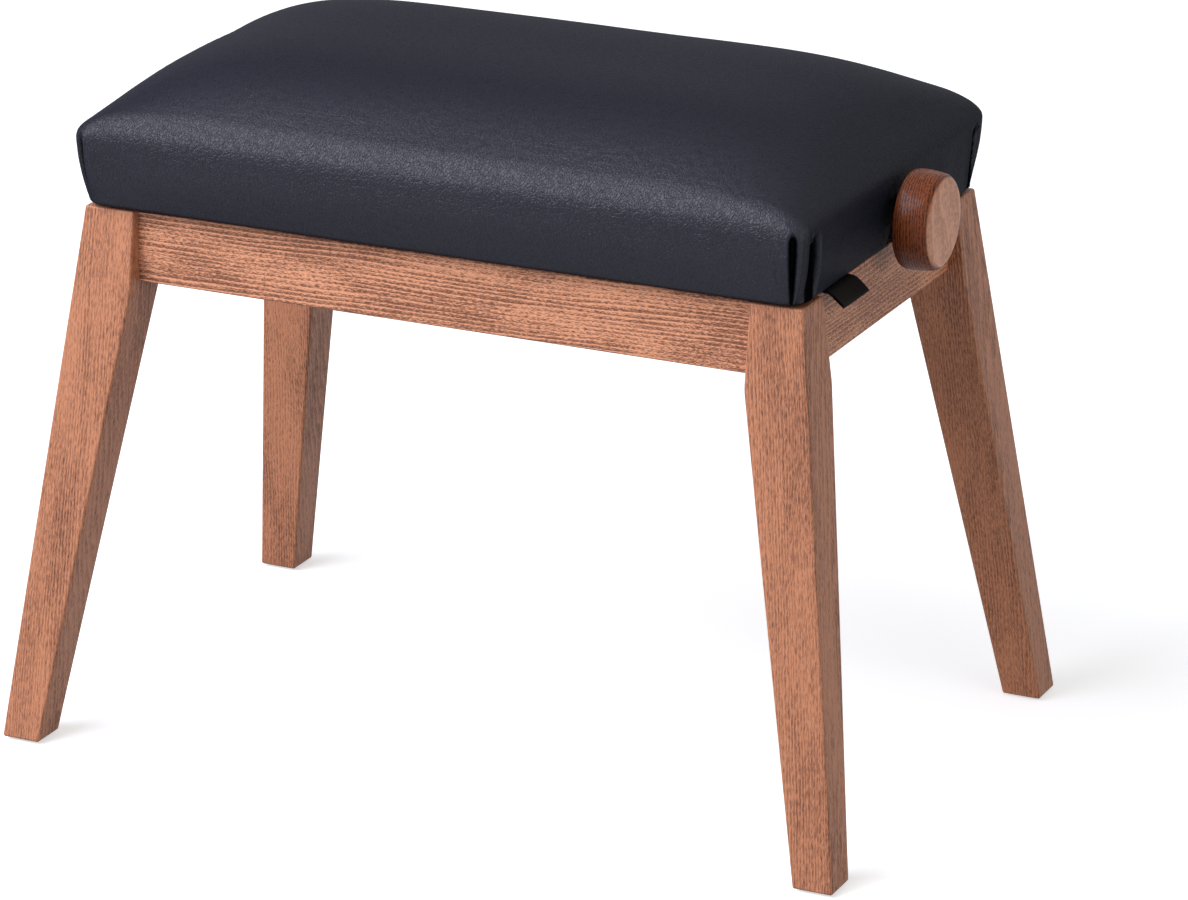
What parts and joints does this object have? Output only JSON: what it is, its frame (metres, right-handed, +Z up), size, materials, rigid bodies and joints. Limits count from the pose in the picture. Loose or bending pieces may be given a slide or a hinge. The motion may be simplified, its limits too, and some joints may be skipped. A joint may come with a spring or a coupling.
{
  "type": "piano bench",
  "caption": "Height-adjustable piano bench: splayed stained-wood legs and aprons, a padded leather seat, and a scissor lift driven by a spindle with a side knob.",
  "frame": {"origin": "on the floor under the middle of the bench", "axes": "+X along the bench towards its right end, +Y to the back, +Z up"},
  "size_m": [0.6596, 0.4224, 0.511],
  "materials": {
    "stained_wood": "satin walnut-brown stain, fine straight grain",
    "knob_wood": "polished dark walnut-brown stain",
    "plain_wood": "unfinished beech",
    "plywood": "unfinished plywood",
    "leather": "black leather, fine pebble grain, soft sheen",
    "foam": "open-cell foam",
    "wadding": "polyester wadding",
    "woven_tag": "black satin weave",
    "glide_plastic": "matt brown plastic",
    "nylon": "natural nylon",
    "bronze": "machined bronze",
    "plated_steel": "zinc plated sheet and flat bar",
    "bright_steel": "bright zinc plate"
  },
  "bodies": {
    "base": {"leg_front_left": "stained_wood", "leg_front_right": "stained_wood", "leg_rear_left": "stained_wood", "leg_rear_right": "stained_wood", "corner_block_front_left": "plain_wood", "corner_block_front_right": "plain_wood", "corner_block_rear_left": "plain_wood", "corner_block_rear_right": "plain_wood", "apron_front": "stained_wood", "apron_rear": "stained_wood", "apron_left": "stained_wood", "apron_right": "stained_wood", "apron_dowels": "plain_wood", "hanger_bolts": "bright_steel", "hanger_washers": "bright_steel", "hanger_nuts": "bright_steel", "foot_glides": "glide_plastic", "lower_track_front": "plated_steel", "lower_track_rear": "plated_steel", "lower_track_screws": "bright_steel", "lower_track_rivets": "bright_steel", "lower_pivot_blocks": "nylon"},
    "outer_arms": {"outer_arm_front": "plated_steel", "outer_arm_rear": "plated_steel", "lower_pivot_shaft": "bright_steel", "centre_rivets": "bright_steel"},
    "inner_arms": {"inner_arm_front": "plated_steel", "inner_arm_rear": "plated_steel", "upper_pivot_pins": "bright_steel"},
    "lower_slider": {"lower_slide_shaft": "bright_steel", "lower_slide_blocks": "nylon", "slide_shaft_clips": "bright_steel"},
    "spindle_nut_carrier": {"nut_bar": "bright_steel", "spindle_nut": "bronze", "upper_slide_blocks": "nylon"},
    "spindle_assembly": {"spindle": "bright_steel", "knob": "knob_wood", "knob_insert": "bronze", "spindle_collars": "bright_steel", "collar_set_screws": "bright_steel"},
    "seat": {"seat_rail_front": "plain_wood", "seat_rail_rear": "plain_wood", "seat_rail_left": "plain_wood", "seat_rail_right": "plain_wood", "seat_board": "plywood", "seat_foam": "foam", "seat_wadding": "wadding", "seat_cover": "leather", "side_tag": "woven_tag", "cover_staples": "bright_steel", "seat_rail_screws": "bright_steel", "upper_track_front": "plated_steel", "upper_track_rear": "plated_steel", "upper_track_screws": "bright_steel", "upper_track_rivets": "bright_steel", "upper_pivot_blocks": "nylon", "spindle_brackets": "plated_steel", "bracket_screws": "bright_steel", "spindle_bushes": "nylon"}
  },
  "joints": [
    {"name": "lift", "type": "hinge", "parent": "base", "child": "outer_arms", "pos_m": [-0.15, 0, 0.362], "axis": [0, -1, 0], "range_deg": [0, 19.23]},
    {"name": "arm_cross", "type": "hinge", "parent": "outer_arms", "child": "inner_arms", "pos_m": [0.007, 0, 0.3925], "axis": [0, -1, 0], "range_deg": [-38.46, 0]},
    {"name": "seat_level", "type": "hinge", "parent": "inner_arms", "child": "seat", "pos_m": [-0.15, 0, 0.423], "axis": [0, -1, 0], "range_deg": [0, 19.23]},
    {"name": "nut_level", "type": "hinge", "parent": "outer_arms", "child": "spindle_nut_carrier", "pos_m": [0.164, 0, 0.423], "axis": [0, -1, 0], "range_deg": [-19.23, 0]},
    {"name": "slider_level", "type": "hinge", "parent": "inner_arms", "child": "lower_slider", "pos_m": [0.164, 0, 0.362], "axis": [0, -1, 0], "range_deg": [0, 19.23]},
    {"name": "knob_turn", "type": "hinge", "parent": "seat", "child": "spindle_assembly", "pos_m": [0, 0, 0.423], "axis": [1, 0, 0], "range_deg": [0, 4512.7]}
  ],
  "couplings": [
    {"joint": "arm_cross", "follows": "lift", "ratio": -2},
    {"joint": "seat_level", "follows": "lift", "ratio": 1},
    {"joint": "nut_level", "follows": "lift", "ratio": -1},
    {"joint": "slider_level", "follows": "lift", "ratio": 1},
    {"joint": "knob_turn", "follows": "lift", "ratio": 234.68}
  ]
}
